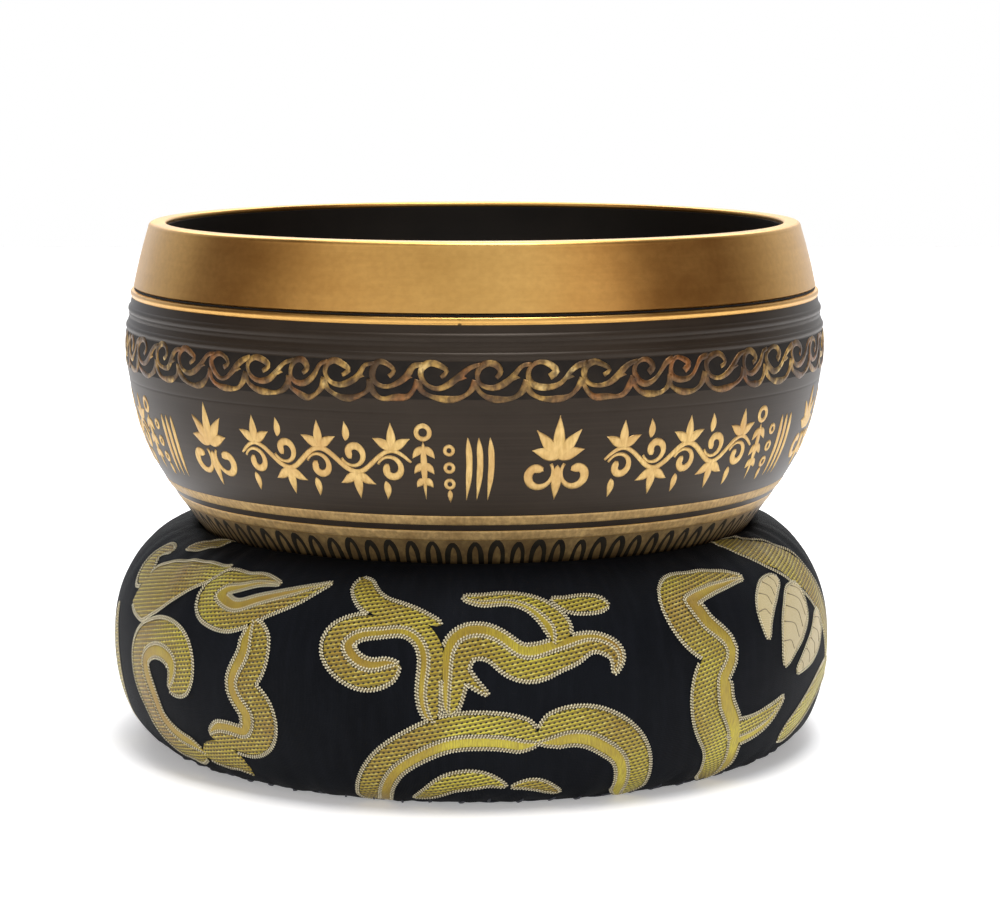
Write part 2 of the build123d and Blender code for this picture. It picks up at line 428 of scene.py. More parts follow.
def arch_black():
    """The black filling of the petals cut round the bowl's foot."""
    s = Shader("petal_black", Roughness=0.6, Specular_IOR_Level=0.15)
    cloud = s.noise(s.place((400, 400, 400)), 1.0, 3.0)
    s.link(s.ramp(cloud, (0.3, (0.006, 0.005, 0.003)), (0.8, (0.018, 0.014, 0.008))), "Base Color")
    s.link(s.bump(cloud, 0.0001, 0.5), "Normal")
    return s.material


def satin():
    """The brocade's ground: warp-faced navy satin, with its weave at true scale."""
    s = Shader("navy_satin", Roughness=0.6, Specular_IOR_Level=0.05)
    coords = s.node("SeparateXYZ", {0: s.uv()})
    warp = s.math("SINE", s.math("MULTIPLY", coords.outputs[0], tau * 1500))
    weft = s.math("SINE", s.math("MULTIPLY", coords.outputs[1], tau * 300))
    thread = s.math("MULTIPLY_ADD", warp, 0.7, s.math("MULTIPLY", weft, 0.3))
    slub = s.noise(s.uv((220, 9, 1)), 1.0, 4.0)
    patch = s.noise(s.place((30, 30, 30)), 1.0, 4.0)
    tone = s.ramp(patch, (0.3, (0.0030, 0.0036, 0.0050)), (0.7, (0.0056, 0.0068, 0.0094)))
    tone = s.mix(s.ramp(slub, (0.45, 0.0), (0.8, 0.4)), tone, (0.011, 0.0125, 0.017))
    s.link(tone, "Base Color")
    s.link(s.bump(thread, 0.00006, 0.5, s.bump(slub, 0.00006, 0.3)), "Normal")
    return s.material


def gold_weave():
    """Dotted gold field: slanting ribs of metal thread, tied down at close dark points, with
    painted glints of light.
    """
    s = Shader("gold_weave", Metallic=0.3, Roughness=0.42)
    pitch_x, pitch_y, slant = 1.05, 0.86, 0.20
    coords = s.node("SeparateXYZ", {0: s.uv((100, 100, 1))})
    along = coords.outputs[0]
    across = s.math("DIVIDE", along, pitch_x)
    up = s.math("DIVIDE", s.math("MULTIPLY_ADD", along, -slant, coords.outputs[1]), pitch_y)
    row = s.math("FLOOR", up)
    shift = s.math("MULTIPLY", s.math("MODULO", row, 2.0), 0.5)
    dx = s.math("ABSOLUTE", s.math("SUBTRACT", s.math("FRACT", s.math("ADD", across, shift)), 0.5))
    dy = s.math("ABSOLUTE", s.math("SUBTRACT", s.math("FRACT", up), 0.5))
    wide = s.math("POWER", s.math("MULTIPLY", dx, 0.85), 2.0)
    far = s.math("ADD", wide, s.math("POWER", dy, 2.0))
    dot = s.ramp(far, (0.034, 1.0), (0.070, 0.0))
    ribs = s.math("SINE", s.math("MULTIPLY", up, tau))
    fine = s.math("SINE", s.math("MULTIPLY", along, tau / 0.24))
    cloud = s.noise(s.place((42, 42, 42)), 1.0, 3.0)
    painted_glint = s.noise(s.uv((95, 160, 1)), 1.0, 2.0)
    brown, mid, lemon = (0.36, 0.210, 0.026), (0.50, 0.385, 0.034), (0.72, 0.65, 0.062)
    tone = s.ramp(cloud, (0.32, brown), (0.5, mid), (0.68, lemon))
    # painted highlight: pale gold glints mixed into the colour where a noise runs high
    tone = s.mix(s.ramp(painted_glint, (0.52, 0.0), (0.66, 0.55)), tone, (0.92, 0.84, 0.24))
    tone = s.mix(s.ramp(ribs, (0.05, 0.75), (0.65, 0.0)), tone, (0.14, 0.095, 0.020))
    tone = s.mix(dot, tone, (0.022, 0.018, 0.009))
    s.link(tone, "Base Color")
    threads = s.math("MULTIPLY_ADD", ribs, 0.4, s.math("MULTIPLY", fine, 0.2))
    relief = s.math("SUBTRACT", threads, dot)
    s.link(s.bump(relief, 0.00016, 0.8), "Normal")
    return s.material


def gold_stripe():
    """Plain gold: satin floats of metal thread."""
    s = Shader("gold_stripe", Metallic=0.35, Roughness=0.42)
    coords = s.node("SeparateXYZ", {0: s.uv((100, 100, 1))})
    fine = s.math("SINE", s.math("MULTIPLY", coords.outputs[0], tau / 0.30))
    slub = s.noise(s.uv((420, 40, 1)), 1.0, 3.0)
    cloud = s.noise(s.place((42, 42, 42)), 1.0, 3.0)
    brown, mid, lemon = (0.38, 0.225, 0.028), (0.52, 0.395, 0.036), (0.72, 0.63, 0.062)
    tone = s.ramp(cloud, (0.32, brown), (0.5, mid), (0.68, lemon))
    tone = s.mix(s.ramp(slub, (0.35, 0.60), (0.6, 0.0)), tone, (0.24, 0.165, 0.035))
    tone = s.mix(s.ramp(fine, (0.1, 0.35), (0.6, 0.0)), tone, (0.24, 0.165, 0.035))
    s.link(tone, "Base Color")
    s.link(s.bump(fine, 0.00008, 0.6, s.bump(slub, 0.00008, 0.5)), "Normal")
    return s.material


def cloth_material(name, dark, light, threads, roughness=0.8):
    """Plain woven cloth or thread between two tones."""
    s = Shader(name, Roughness=roughness, Sheen_Weight=0.2)
    settings = {"Vector": s.place(), "Scale": threads, "Distortion": 1.2, "Detail": 1.0}
    warp = s.node("TexWave", settings)
    weft = s.node("TexWave", settings, bands_direction="Y")
    both = s.math("MAXIMUM", warp.outputs["Fac"], weft.outputs["Fac"])
    cloud = s.noise(s.place((60, 60, 60)), 1.0, 4.0)
    tone = s.ramp(both, (0.2, dark), (0.9, light))
    s.link(s.mix(s.ramp(cloud, (0.3, 0.35), (0.7, 0.0)), tone, dark), "Base Color")
    s.link(s.bump(both, 0.0001, 0.6), "Normal")
    return s.material


# ------------------------------------------------------------------ bowl
OUTSIDE = [
    (70.5, 0.0),
    (72.4, 6.5),
    (74.2, 14.1),
    (75.5, 21.0),
    (BELLY, 27.5),
    (75.2, 34.5),
    (73.2, 43.5),
    (69.6, 52.0),
    (64.3, 60.0),
    (58.4, 68.0),
    (51.2, 74.2),
    (43.5, 78.2),
    (35.5, 80.0),
]
HOLLOW = [
    (66.7, 0.0),
    (68.4, 6.5),
    (69.9, 14.1),
    (71.2, 21.0),
    (71.7, 27.5),
    (70.8, 34.5),
    (68.6, 43.5),
    (64.6, 52.0),
    (59.0, 60.0),
    (51.0, 67.2),
    (42.0, 72.2),
    (30.0, 75.0),
]
COAT = 0.3
GROOVE = 14.1
BRIGHT_BEAD, UPPER_BEAD, LOWER_BEAD = 15.0, 18.3, 21.9
WALL_COAT = (15.9, 54.6)
LINE_COAT = (56.6, 57.9)
GOLD_LINES = 55.6, 59.0
PETALS_TOP, PETALS_END = 60.2, 67.6
BASE_COAT = (68.2, 79.9)
HOLLOW_COAT_FROM = 0.7

_outside = fair(OUTSIDE, 900)
_outside_normal = -left_of(_outside)


def wall(depth, out=0.0):
    """(radius, height) of the outside at a depth, or that far out from it."""
    depth = np.asarray(depth, float)
    normal = np.stack([np.interp(depth, _outside[:, 1], n) for n in _outside_normal.T], -1)
    radius = np.interp(depth, _outside[:, 1], _outside[:, 0])
    out = np.broadcast_to(out, depth.shape)
    return np.stack([radius + normal[..., 0] * out, RIM - depth - normal[..., 1] * out], -1)


def on_wall(flat, up):
    """Points of the bowl's wall from flat places (mm round the belly, depth) and heights."""
    radius_height = wall(flat[:, 1], up)
    angle = flat[:, 0] / BELLY
    radius = radius_height[:, 0]
    return np.stack([radius * np.sin(angle), -radius * np.cos(angle), radius_height[:, 1]], -1)


def bulge(depths, centre, radius, buried):
    """How far a bead of that radius, buried that deep, stands out at each depth."""
    reach = np.maximum(radius**2 - (depths - centre) ** 2, 0)
    return np.maximum(np.sqrt(reach) - buried, 0)


def wall_relief(depths):
    """How far the turned profile stands out from the fair curve of the wall."""
    out = bulge(depths, BRIGHT_BEAD, 0.85, 0.45)
    out = out + bulge(depths, UPPER_BEAD, 1.05, 0.72)
    out = out + bulge(depths, LOWER_BEAD, 0.95, 0.66)
    out = out - bulge(depths, GROOVE, 0.42, 0.0)
    out = out - 0.16 * np.exp(-(((depths - 20.1) / 0.45) ** 2))
    for centre in GOLD_LINES:
        out = out + 0.09 * smooth_step((1.0 - np.abs(depths - centre)) / 0.25)
    return out - 0.048 * np.exp(-(((depths - 33.2) / 0.22) ** 2))


def strip(depth_from, depth_to, step=0.12, out=0.0):
    """The wall's own profile between two depths, going down."""
    depths = np.linspace(depth_from, depth_to, max(int((depth_to - depth_from) / step), 3))
    return wall(depths, wall_relief(depths) + out)


def coat_section(depth_from, depth_to):
    """A coat's closed section: its face from the bottom up, and its back down again."""
    face = strip(depth_from + 0.02, depth_to - 0.02)[::-1]
    depths = np.linspace(depth_from + 0.02, depth_to - 0.02, 40)
    return np.vstack([face, wall(depths, -COAT + 0.03)])


def brass_section():
    """The bowl's metal, with a shallow recess under each coat, from the axis round to it."""
    rim_round, inner_round = 1.1, 0.5
    inner = fair(HOLLOW, 240)
    inner[:, 1] = RIM - inner[:, 1]
    inner_shift = left_of(inner) * COAT
    coated = smooth_step((RIM - inner[:, 1] - HOLLOW_COAT_FROM) / 0.2)[:, None]
    inner = inner + inner_shift * coated
    inner = inner[RIM - inner[:, 1] > inner_round]
    turn = np.linspace(0, pi / 2, 9)
    drop = 1 - np.sin(turn)
    back = 1 - np.cos(turn)
    lip_out = np.stack([wall(rim_round)[0] - rim_round * back, RIM - rim_round * drop], 1)
    lip_in = np.stack([inner[0, 0] + inner_round * back, RIM - inner_round * drop], 1)
    up_outside = [
        wall(np.linspace(BASE_COAT[1], BASE_COAT[0], 60), -COAT),
        strip(LINE_COAT[1], BASE_COAT[0])[::-1],
        wall(np.linspace(LINE_COAT[1], LINE_COAT[0], 6), -COAT),
        strip(WALL_COAT[1], LINE_COAT[0])[::-1],
        wall(np.linspace(WALL_COAT[1], WALL_COAT[0], 90), -COAT),
        strip(rim_round, WALL_COAT[0], step=0.07)[::-1],
    ]
    recess = BOWL_BASE + 0.9
    foot = np.array([(0, recess), (29.2, recess), (29.8, recess - 0.2), (30.1, BOWL_BASE + 0.1)])
    foot = np.vstack([foot, [(30.5, BOWL_BASE), (35.2, BOWL_BASE)]])
    axis = [(0, inner[-1, 1])]
    return np.vstack([foot, *up_outside, lip_out, lip_in[::-1], inner, axis])


def hollow_coat_section():
    face = fair(HOLLOW, 160)
    face[:, 1] = RIM - face[:, 1]
    face = face[RIM - face[:, 1] > HOLLOW_COAT_FROM]
    back = (face + left_of(face) * (COAT - 0.03))[::-1]
    axis = np.array([(0, face[-1, 1]), (0, back[0, 1])])
    return np.vstack([face, axis, back])


def scroll_band():
    """Running hooked curls over scalloped arcs, cut freehand, so no two are alike."""
    hand = np.random.default_rng(7)
    units = 50
    pitches = hand.uniform(0.8, 1.25, units)
    pitches *= tau * BELLY / pitches.sum()
    lines = Strokes(on_wall, height=0.16)
    top = 22.7
    curl_line = [(0.40, 3.3), (0.51, 2.2), (0.40, 0.9), (0.20, 0.6), (0.04, 2.1), (0.09, 4.2)]
    curl_line += [(0.32, 5.3), (0.58, 4.6), (0.76, 2.7), (0.92, 1.2), (1.10, 0.8)]
    scallop = [(0.0, 3.9), (0.05, 5.7), (0.24, 7.2), (0.5, 7.7)]
    scallop += [(0.78, 7.1), (0.95, 5.5), (1.0, 3.8)]
    x = 0.0
    for pitch in pitches:
        for points, width in ((curl_line, 1.2), (scallop, 1.25)):
            loose = hand.normal(0, 0.16, (len(points), 2))
            loose[[0, -1]] *= 0.3
            places = [(x + u * pitch + dx, top + v + dy) for (u, v), (dx, dy) in zip(points, loose)]
            line = fair(places, 44)
            half = width / 2 * (1 + 0.24 * np.sin(np.linspace(0, 13, 44) + hand.uniform(0, 6)))
            lines.add(line, half, lift=hand.uniform(0, 0.02))
        if pitch > 9.6:
            lines.add(*leaf(x + 0.68 * pitch, top + 3.9, -50, 2.2, 1.0, bend=70))
        x += pitch
    return lines


def ornament_group(lines, x):
    """One run of leaves, curls and buds between two sets of tapered bars."""
    y = 43.2

    # palmette: five leaves over two curls that turn outwards
    for heading, length in ((-90, 8.2), (-122, 7.0), (-58, 7.0), (-150, 5.4), (-30, 5.4)):
        lines.add(*leaf(x + 8.4, y - 0.6, heading, length * 1.08, 2.7, bend=(heading + 90) * 0.35))
    lines.add(*curl(x + 4.3, y + 2.6, 3.5, -40, 360, 2.0))
    lines.add(*curl(x + 12.5, y + 2.6, 3.5, 220, -360, 2.0))
    lines.add(*leaf(x + 8.4, y + 0.6, 90, 7.4, 2.5))
    x += 18.4

    # a running vine: its stem waves, and each bay holds a curl under three leaves
    bays, pitch = 5, 7.9
    t = np.linspace(0, 1, 120)
    stem = np.stack([x + bays * pitch * t, y - 2.3 * np.sin(pi * bays * t)], axis=1)
    lines.add(stem, 0.62 * (0.4 + 0.6 * np.sin(pi * t) ** 0.4))
    for bay in range(bays):
        cx, turn = x + pitch * (bay + 0.5), 1 if bay % 2 == 0 else -1
        lines.add(*curl(cx - 0.3, y + 1.5 * turn, 2.9, -160 * turn, 400 * turn, 1.7))
        for spread, length in ((-46, 4.6), (0, 5.6), (46, 4.6)):
            heading = -90 * turn + spread
            lines.add(*leaf(cx, y - 2.4 * turn, heading, length, 2.1, bend=0.5 * spread))
        lines.add(*leaf(cx - 1.8, y + 4.0 * turn, 75 * turn, 4.0, 1.7, bend=30 * turn))
    x += bays * pitch + 0.8

    # tall bud: a ring above three pairs of small leaves, with a drop below
    lines.add(*ring(x + 1.8, y - 6.2, 1.35, 1.05), closed=True)
    for step, spread in ((0.0, 3.3), (3.4, 3.0), (6.6, 2.5)):
        lines.add(*leaf(x + 1.8, y - 3.2 + step, 150, spread, 1.7, bend=-30))
        lines.add(*leaf(x + 1.8, y - 3.2 + step, 30, spread, 1.7, bend=30))
    lines.add(*leaf(x + 1.8, y - 4.4, 90, 12.2, 1.5))
    x += 6.2

    # a short string of beads
    for step in (-2.6, 1.0, 4.4):
        lines.add(*ring(x + 0.8, y + step, 0.85, 0.8, count=16), closed=True)
    lines.add(*leaf(x + 0.8, y + 5.6, 90, 2.8, 1.2))
    x += 4.6

    # three tapered bars
    for shift in (0.0, 2.2, 4.5):
        places = [(x + shift, 38.0), (x + shift + 0.3, 43.0), (x + shift - 0.4, 51.0)]
        lines.add(*tapered(places, 1.4))


def wall_ornament():
    groups = 6
    lines = Strokes(on_wall, height=0.14)
    for k in range(groups):
        ornament_group(lines, radians(-53.5 + 360 / groups * k) * BELLY)
    return lines


def petal_band():
    """Black arches cut round the foot, each with a tongue of brass left standing in it."""
    hand = np.random.default_rng(11)
    count = 92
    lines = Strokes(on_wall, height=0.035, sink=0.1)
    pitch = tau * BELLY / count
    for i in range(count):
        x = i * pitch + hand.normal(0, 0.14)
        lean = hand.normal(0, 0.3)
        wide = hand.uniform(0.86, 1.04)
        half = pitch * 0.285 * wide
        top, low = PETALS_TOP + 0.75 + hand.normal(0, 0.15), PETALS_END + hand.normal(0, 0.2)
        arch = [(x - half + lean, low), (x - half, top + 3.0), (x - half * 0.66, top + 0.9)]
        arch += [(x, top), (x + half * 0.66, top + 0.9)]
        arch += [(x + half, top + 3.0), (x + half + lean, low)]
        line = fair(arch, 30)
        width = pitch * 0.155 * (1 + 0.16 * np.sin(np.linspace(0, 11, 30) + hand.uniform(0, 6)))
        lines.add(line, width * wide)
    return lines


def sleeve(name, top, low, out, material):
    """A thin layer of another finish round the wall, between two depths."""
    depths = np.linspace(top, low, max(int((low - top) / 0.15), 6))
    face = wall(depths, wall_relief(depths) + out)[::-1]
    turned(name, np.vstack([face, wall(depths, -0.2)]), material)


def make_bowl():
    metal, coat, hollow, gold = brass(), lacquer(), hollow_coat(), cut_gold()
    shell = turned("brass_shell", brass_section(), metal, segments=640)
    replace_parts(shell, "bowl_shell")
    coats = (
        ("wall_coat", coat_section(*WALL_COAT), "dark_lacquer", coat, "wall_lacquer"),
        ("foot_line_coat", coat_section(*LINE_COAT), "dark_lacquer", coat, "foot_line_lacquer"),
        ("base_coat", coat_section(*BASE_COAT), "dark_lacquer", coat, "base_lacquer"),
        ("hollow_coat", hollow_coat_section(), "inside_lacquer", hollow, "inside_lacquer"),
    )
    for name, section, slot, material, node in coats:
        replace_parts(turned(name, section, material), node)
    black = scroll_ground_and_groove_shade()
    # a dark strip laid in the groove: painted shade in the recess
    sleeve("groove_painted_shade", 13.9, 14.25, 0.012, black)
    sleeve("scroll_ground", 22.9, 30.4, 0.012, black)
    line_gold = dull_brass("line_gold", (0.40, 0.255, 0.095), (0.58, 0.395, 0.165), 0.45)
    for name, centre in zip(("upper_gold_line", "lower_gold_line"), GOLD_LINES):
        sleeve(name, centre - 0.98, centre + 0.98, 0.012, line_gold)
    petal_brass = dull_brass("petal_brass", (0.14, 0.085, 0.030), (0.30, 0.20, 0.075), 0.6)
    sleeve("petal_ground", 60.05, 68.1, 0.012, petal_brass)
    scroll_band().build("scroll_band", "bowl", "polished_brass", copper_gold())
    wall_ornament().build("wall_ornament", "bowl", "polished_brass", gold)
    petal_band().build("petal_arches", "bowl", "dark_lacquer", arch_black())


# ------------------------------------------------------------------ cushion
SIDE = [
    (67.0, 0.0),
    (72.6, 2.8),
    (76.2, 8.5),
    (78.2, 15.5),
    (78.8, 23.5),
    (77.7, 32.0),
    (74.4, 39.0),
    (69.4, 44.3),
    (62.5, 47.4),
    (54.0, 46.6),
    (44.0, 40.5),
    (36.2, 31.5),
    (31.2, 20.0),
    (32.4, 8.0),
    (38.0, 0.0),
]
SEAT_GAP = 0.45
ROUND, UP = 360, 96  # columns and rows of the cloth's grid


def seat_radius(height):
    """How far out the bowl reaches at a height, with the gap that the cloth keeps from it."""
    depths = np.linspace(40, 80, 200)
    outline = wall(depths, SEAT_GAP)[::-1]
    return np.interp(height, outline[:, 1], outline[:, 0], left=0.0)


def side_profile():
    """The cushion's side as it lies under the bowl, evenly spaced."""
    free = fair(SIDE, 600)
    for _ in range(30):
        limit = seat_radius(free[:, 1])
        pressed = (free[:, 0] < limit) & (free[:, 1] > BOWL_BASE - 0.5) & (free[:, 0] < 62.4)
        free[pressed, 1] -= 0.12
        low = pressed & (free[:, 1] < BOWL_BASE - SEAT_GAP)
        free[low, 1] = BOWL_BASE - SEAT_GAP
    return fair(free[::12], UP)


def ring_points(profile, angles):
    radius, height = profile[:, None, 0], profile[:, None, 1]
    shape = (len(profile), len(angles))
    return np.stack(
        [
            radius * np.sin(angles)[None],
            -radius * np.cos(angles)[None],
            np.broadcast_to(height, shape),
        ],
        axis=-1,
    )


def simulate(points, slack):
    """Stuffs the cover: a cloth with spare width near the bowl, blown out and held at its seams.

    It runs ten times life size, where the solver is steady, and comes back to life size.
    """
    blow_up = 10 * MM
    rows, columns = points.shape[:2]
    mesh = bpy.data.meshes.new("cover_cloth")
    flat = points.reshape(-1, 3) * blow_up
    quads = grid_faces(rows, columns, closed_columns=True)
    mesh.from_pydata([tuple(v) for v in flat], [], [tuple(q) for q in quads])
    obj = bpy.data.objects.new("cover_cloth", mesh)
    bpy.context.collection.objects.link(obj)
    obj.shape_key_add(name="Basis")
    rest = obj.shape_key_add(name="rest")
    spread = np.repeat(1 + slack, columns)[:, None]
    wide = flat * np.concatenate([spread, spread, np.ones_like(spread)], axis=1)
    rest.data.foreach_set("co", wide.ravel())
    rest.value = 0
    hold = obj.vertex_groups.new(name="hold")
    steps = np.linspace(0, 1, rows)
    grip = np.maximum(1 - smooth_step(steps / 0.04), 1 - smooth_step((1 - steps) / 0.04))
    grip = np.maximum(grip, 0.35 * smooth_step((steps - 0.5) / 0.12))
    grip = np.maximum(grip, 0.045)
    for row in range(rows):
        hold.add(list(range(row * columns, (row + 1) * columns)), float(grip[row]), "REPLACE")
    cloth = obj.modifiers.new("Cloth", "CLOTH")
    settings = cloth.settings
    settings.quality = 6
    settings.mass = 0.3
    settings.tension_stiffness = settings.compression_stiffness = 25
    settings.shear_stiffness = 5
    settings.bending_stiffness = 0.6
    settings.use_pressure = True
    settings.uniform_pressure_force = 2.5
    settings.vertex_group_mass = "hold"
    settings.pin_stiffness = 1.0
    settings.rest_shape_key = rest
    settings.effector_weights.gravity = 0
    cloth.collision_settings.use_collision = False
    cloth.collision_settings.use_self_collision = False
    scene = bpy.context.scene
    last = 18
    cloth.point_cache.frame_start = 1
    cloth.point_cache.frame_end = last
    for number in range(1, last + 1):
        scene.frame_set(number)
    settled = obj.evaluated_get(bpy.context.evaluated_depsgraph_get()).to_mesh()
    result = np.empty(len(settled.vertices) * 3)
    settled.vertices.foreach_get("co", result)
    scene.frame_set(1)
    bpy.data.objects.remove(obj)
    return result.reshape(points.shape) / blow_up


def stuffed_cover():
    """The cover's skin as a grid of points, from the outer bottom seam to the inner one."""
    hand = np.random.default_rng(3)
    profile = side_profile()
    angles = np.arange(ROUND) / ROUND * tau
    base = ring_points(profile, angles)
    steps = np.linspace(0, 1, UP)
    near_bowl = smooth_step((steps - 0.27) / 0.16)
    slack = 0.085 * near_bowl + 0.012
    points = base.copy()
    outward = grid_normals(base)
    seed = 0
    for n in range(34, 75, 3):
        seed = seed + np.cos(n * angles + hand.uniform(0, tau)) * hand.uniform(0.3, 1)
    points += outward * (seed[None, :, None] * near_bowl[:, None, None] * 0.05)
    points = simulate(points, slack)
    moved = np.clip(((points - base) * outward).sum(-1), -1.6, 2.4)
    along = (points - base) - outward * ((points - base) * outward).sum(-1, keepdims=True)
    along *= np.minimum(1, 1.5 / np.maximum(np.linalg.norm(along, axis=-1, keepdims=True), 1e-6))
    points = base + along + outward * moved[..., None]

    # the stuffing is uneven: fuller on the left, and lumpy all round
    side = np.sin(pi * np.clip(steps / 0.46, 0, 1)) ** 0.8
    full = 0.55 * np.cos(angles + pi / 2 - 0.3) + 0.35 * np.cos(2 * angles + 0.8)
    lumps = 0.32 * np.cos(5 * angles + 1.0) + 0.24 * np.cos(9 * angles + 2.2)
    lumps = lumps + 0.14 * np.cos(14 * angles)
    points += outward * ((full + lumps)[None, :] * side[:, None])[..., None]

    # the join at the back, where the strip's two ends are sewn together
    dent = 0.9 * np.exp(-(((angles - pi) / 0.022) ** 2))
    points -= outward * (dent[None, :] * smooth_step(steps / 0.03)[:, None])[..., None]

    # puckers where the bottom seams draw the cloth in
    pucker = np.exp(-steps / 0.035) + np.exp(-(1 - steps) / 0.05)
    pucker = pucker * smooth_step(steps / 0.02)
    folds = 0.35 * np.cos(58 * angles + 0.4) + 0.25 * np.cos(37 * angles + 1.9)
    points += outward * (folds[None, :] * pucker[:, None])[..., None]
    return keep_clear(points)


def keep_clear(points):
    """Keeps the cloth off the table and out of the bowl."""
    points[..., 2] = np.maximum(points[..., 2], 0.02)
    radius = np.hypot(points[..., 0], points[..., 1])
    for _ in range(3):
        limit = seat_radius(points[..., 2])
        inside = (radius < limit) & (points[..., 2] > BOWL_BASE - SEAT_GAP)
        drop = np.minimum((limit - radius) * 0.8, 1.2)
        points[..., 2] = np.where(inside, points[..., 2] - drop, points[..., 2])
    return points


def grid_normals(points):
    """Outward unit normals of the cover's grid."""
    round_way = np.roll(points, -1, axis=1) - np.roll(points, 1, axis=1)
    up_way = np.gradient(points, axis=0)
    normal = np.cross(round_way, up_way)
    return normal / np.maximum(np.linalg.norm(normal, axis=-1, keepdims=True), 1e-9)


class Cloth:
    """The stuffed cover's surface, found from flat places of the cloth."""

    def __init__(self, points):
        self.points = points
        self.normals = grid_normals(points)
        self.length = np.hypot(*np.diff(side_profile(), axis=0).T).sum()

    def sample(self, grid, flat):
        column = flat[:, 0] / (tau * RING) * ROUND
        row = np.clip(flat[:, 1] / self.length, 0, 1) * (UP - 1)
        i = np.clip(np.floor(row).astype(int), 0, UP - 2)
        j = np.floor(column).astype(int)
        a, b = (row - i)[:, None], (column - j)[:, None]
        j, j2 = j % ROUND, (j + 1) % ROUND
        low = grid[i, j] * (1 - b) + grid[i, j2] * b
        high = grid[i + 1, j] * (1 - b) + grid[i + 1, j2] * b
        return low * (1 - a) + high * a

    def __call__(self, flat, up):
        flat = np.asarray(flat, float)
        up = np.broadcast_to(up, (len(flat),))
        return self.sample(self.points, flat) + self.sample(self.normals, flat) * up[:, None]


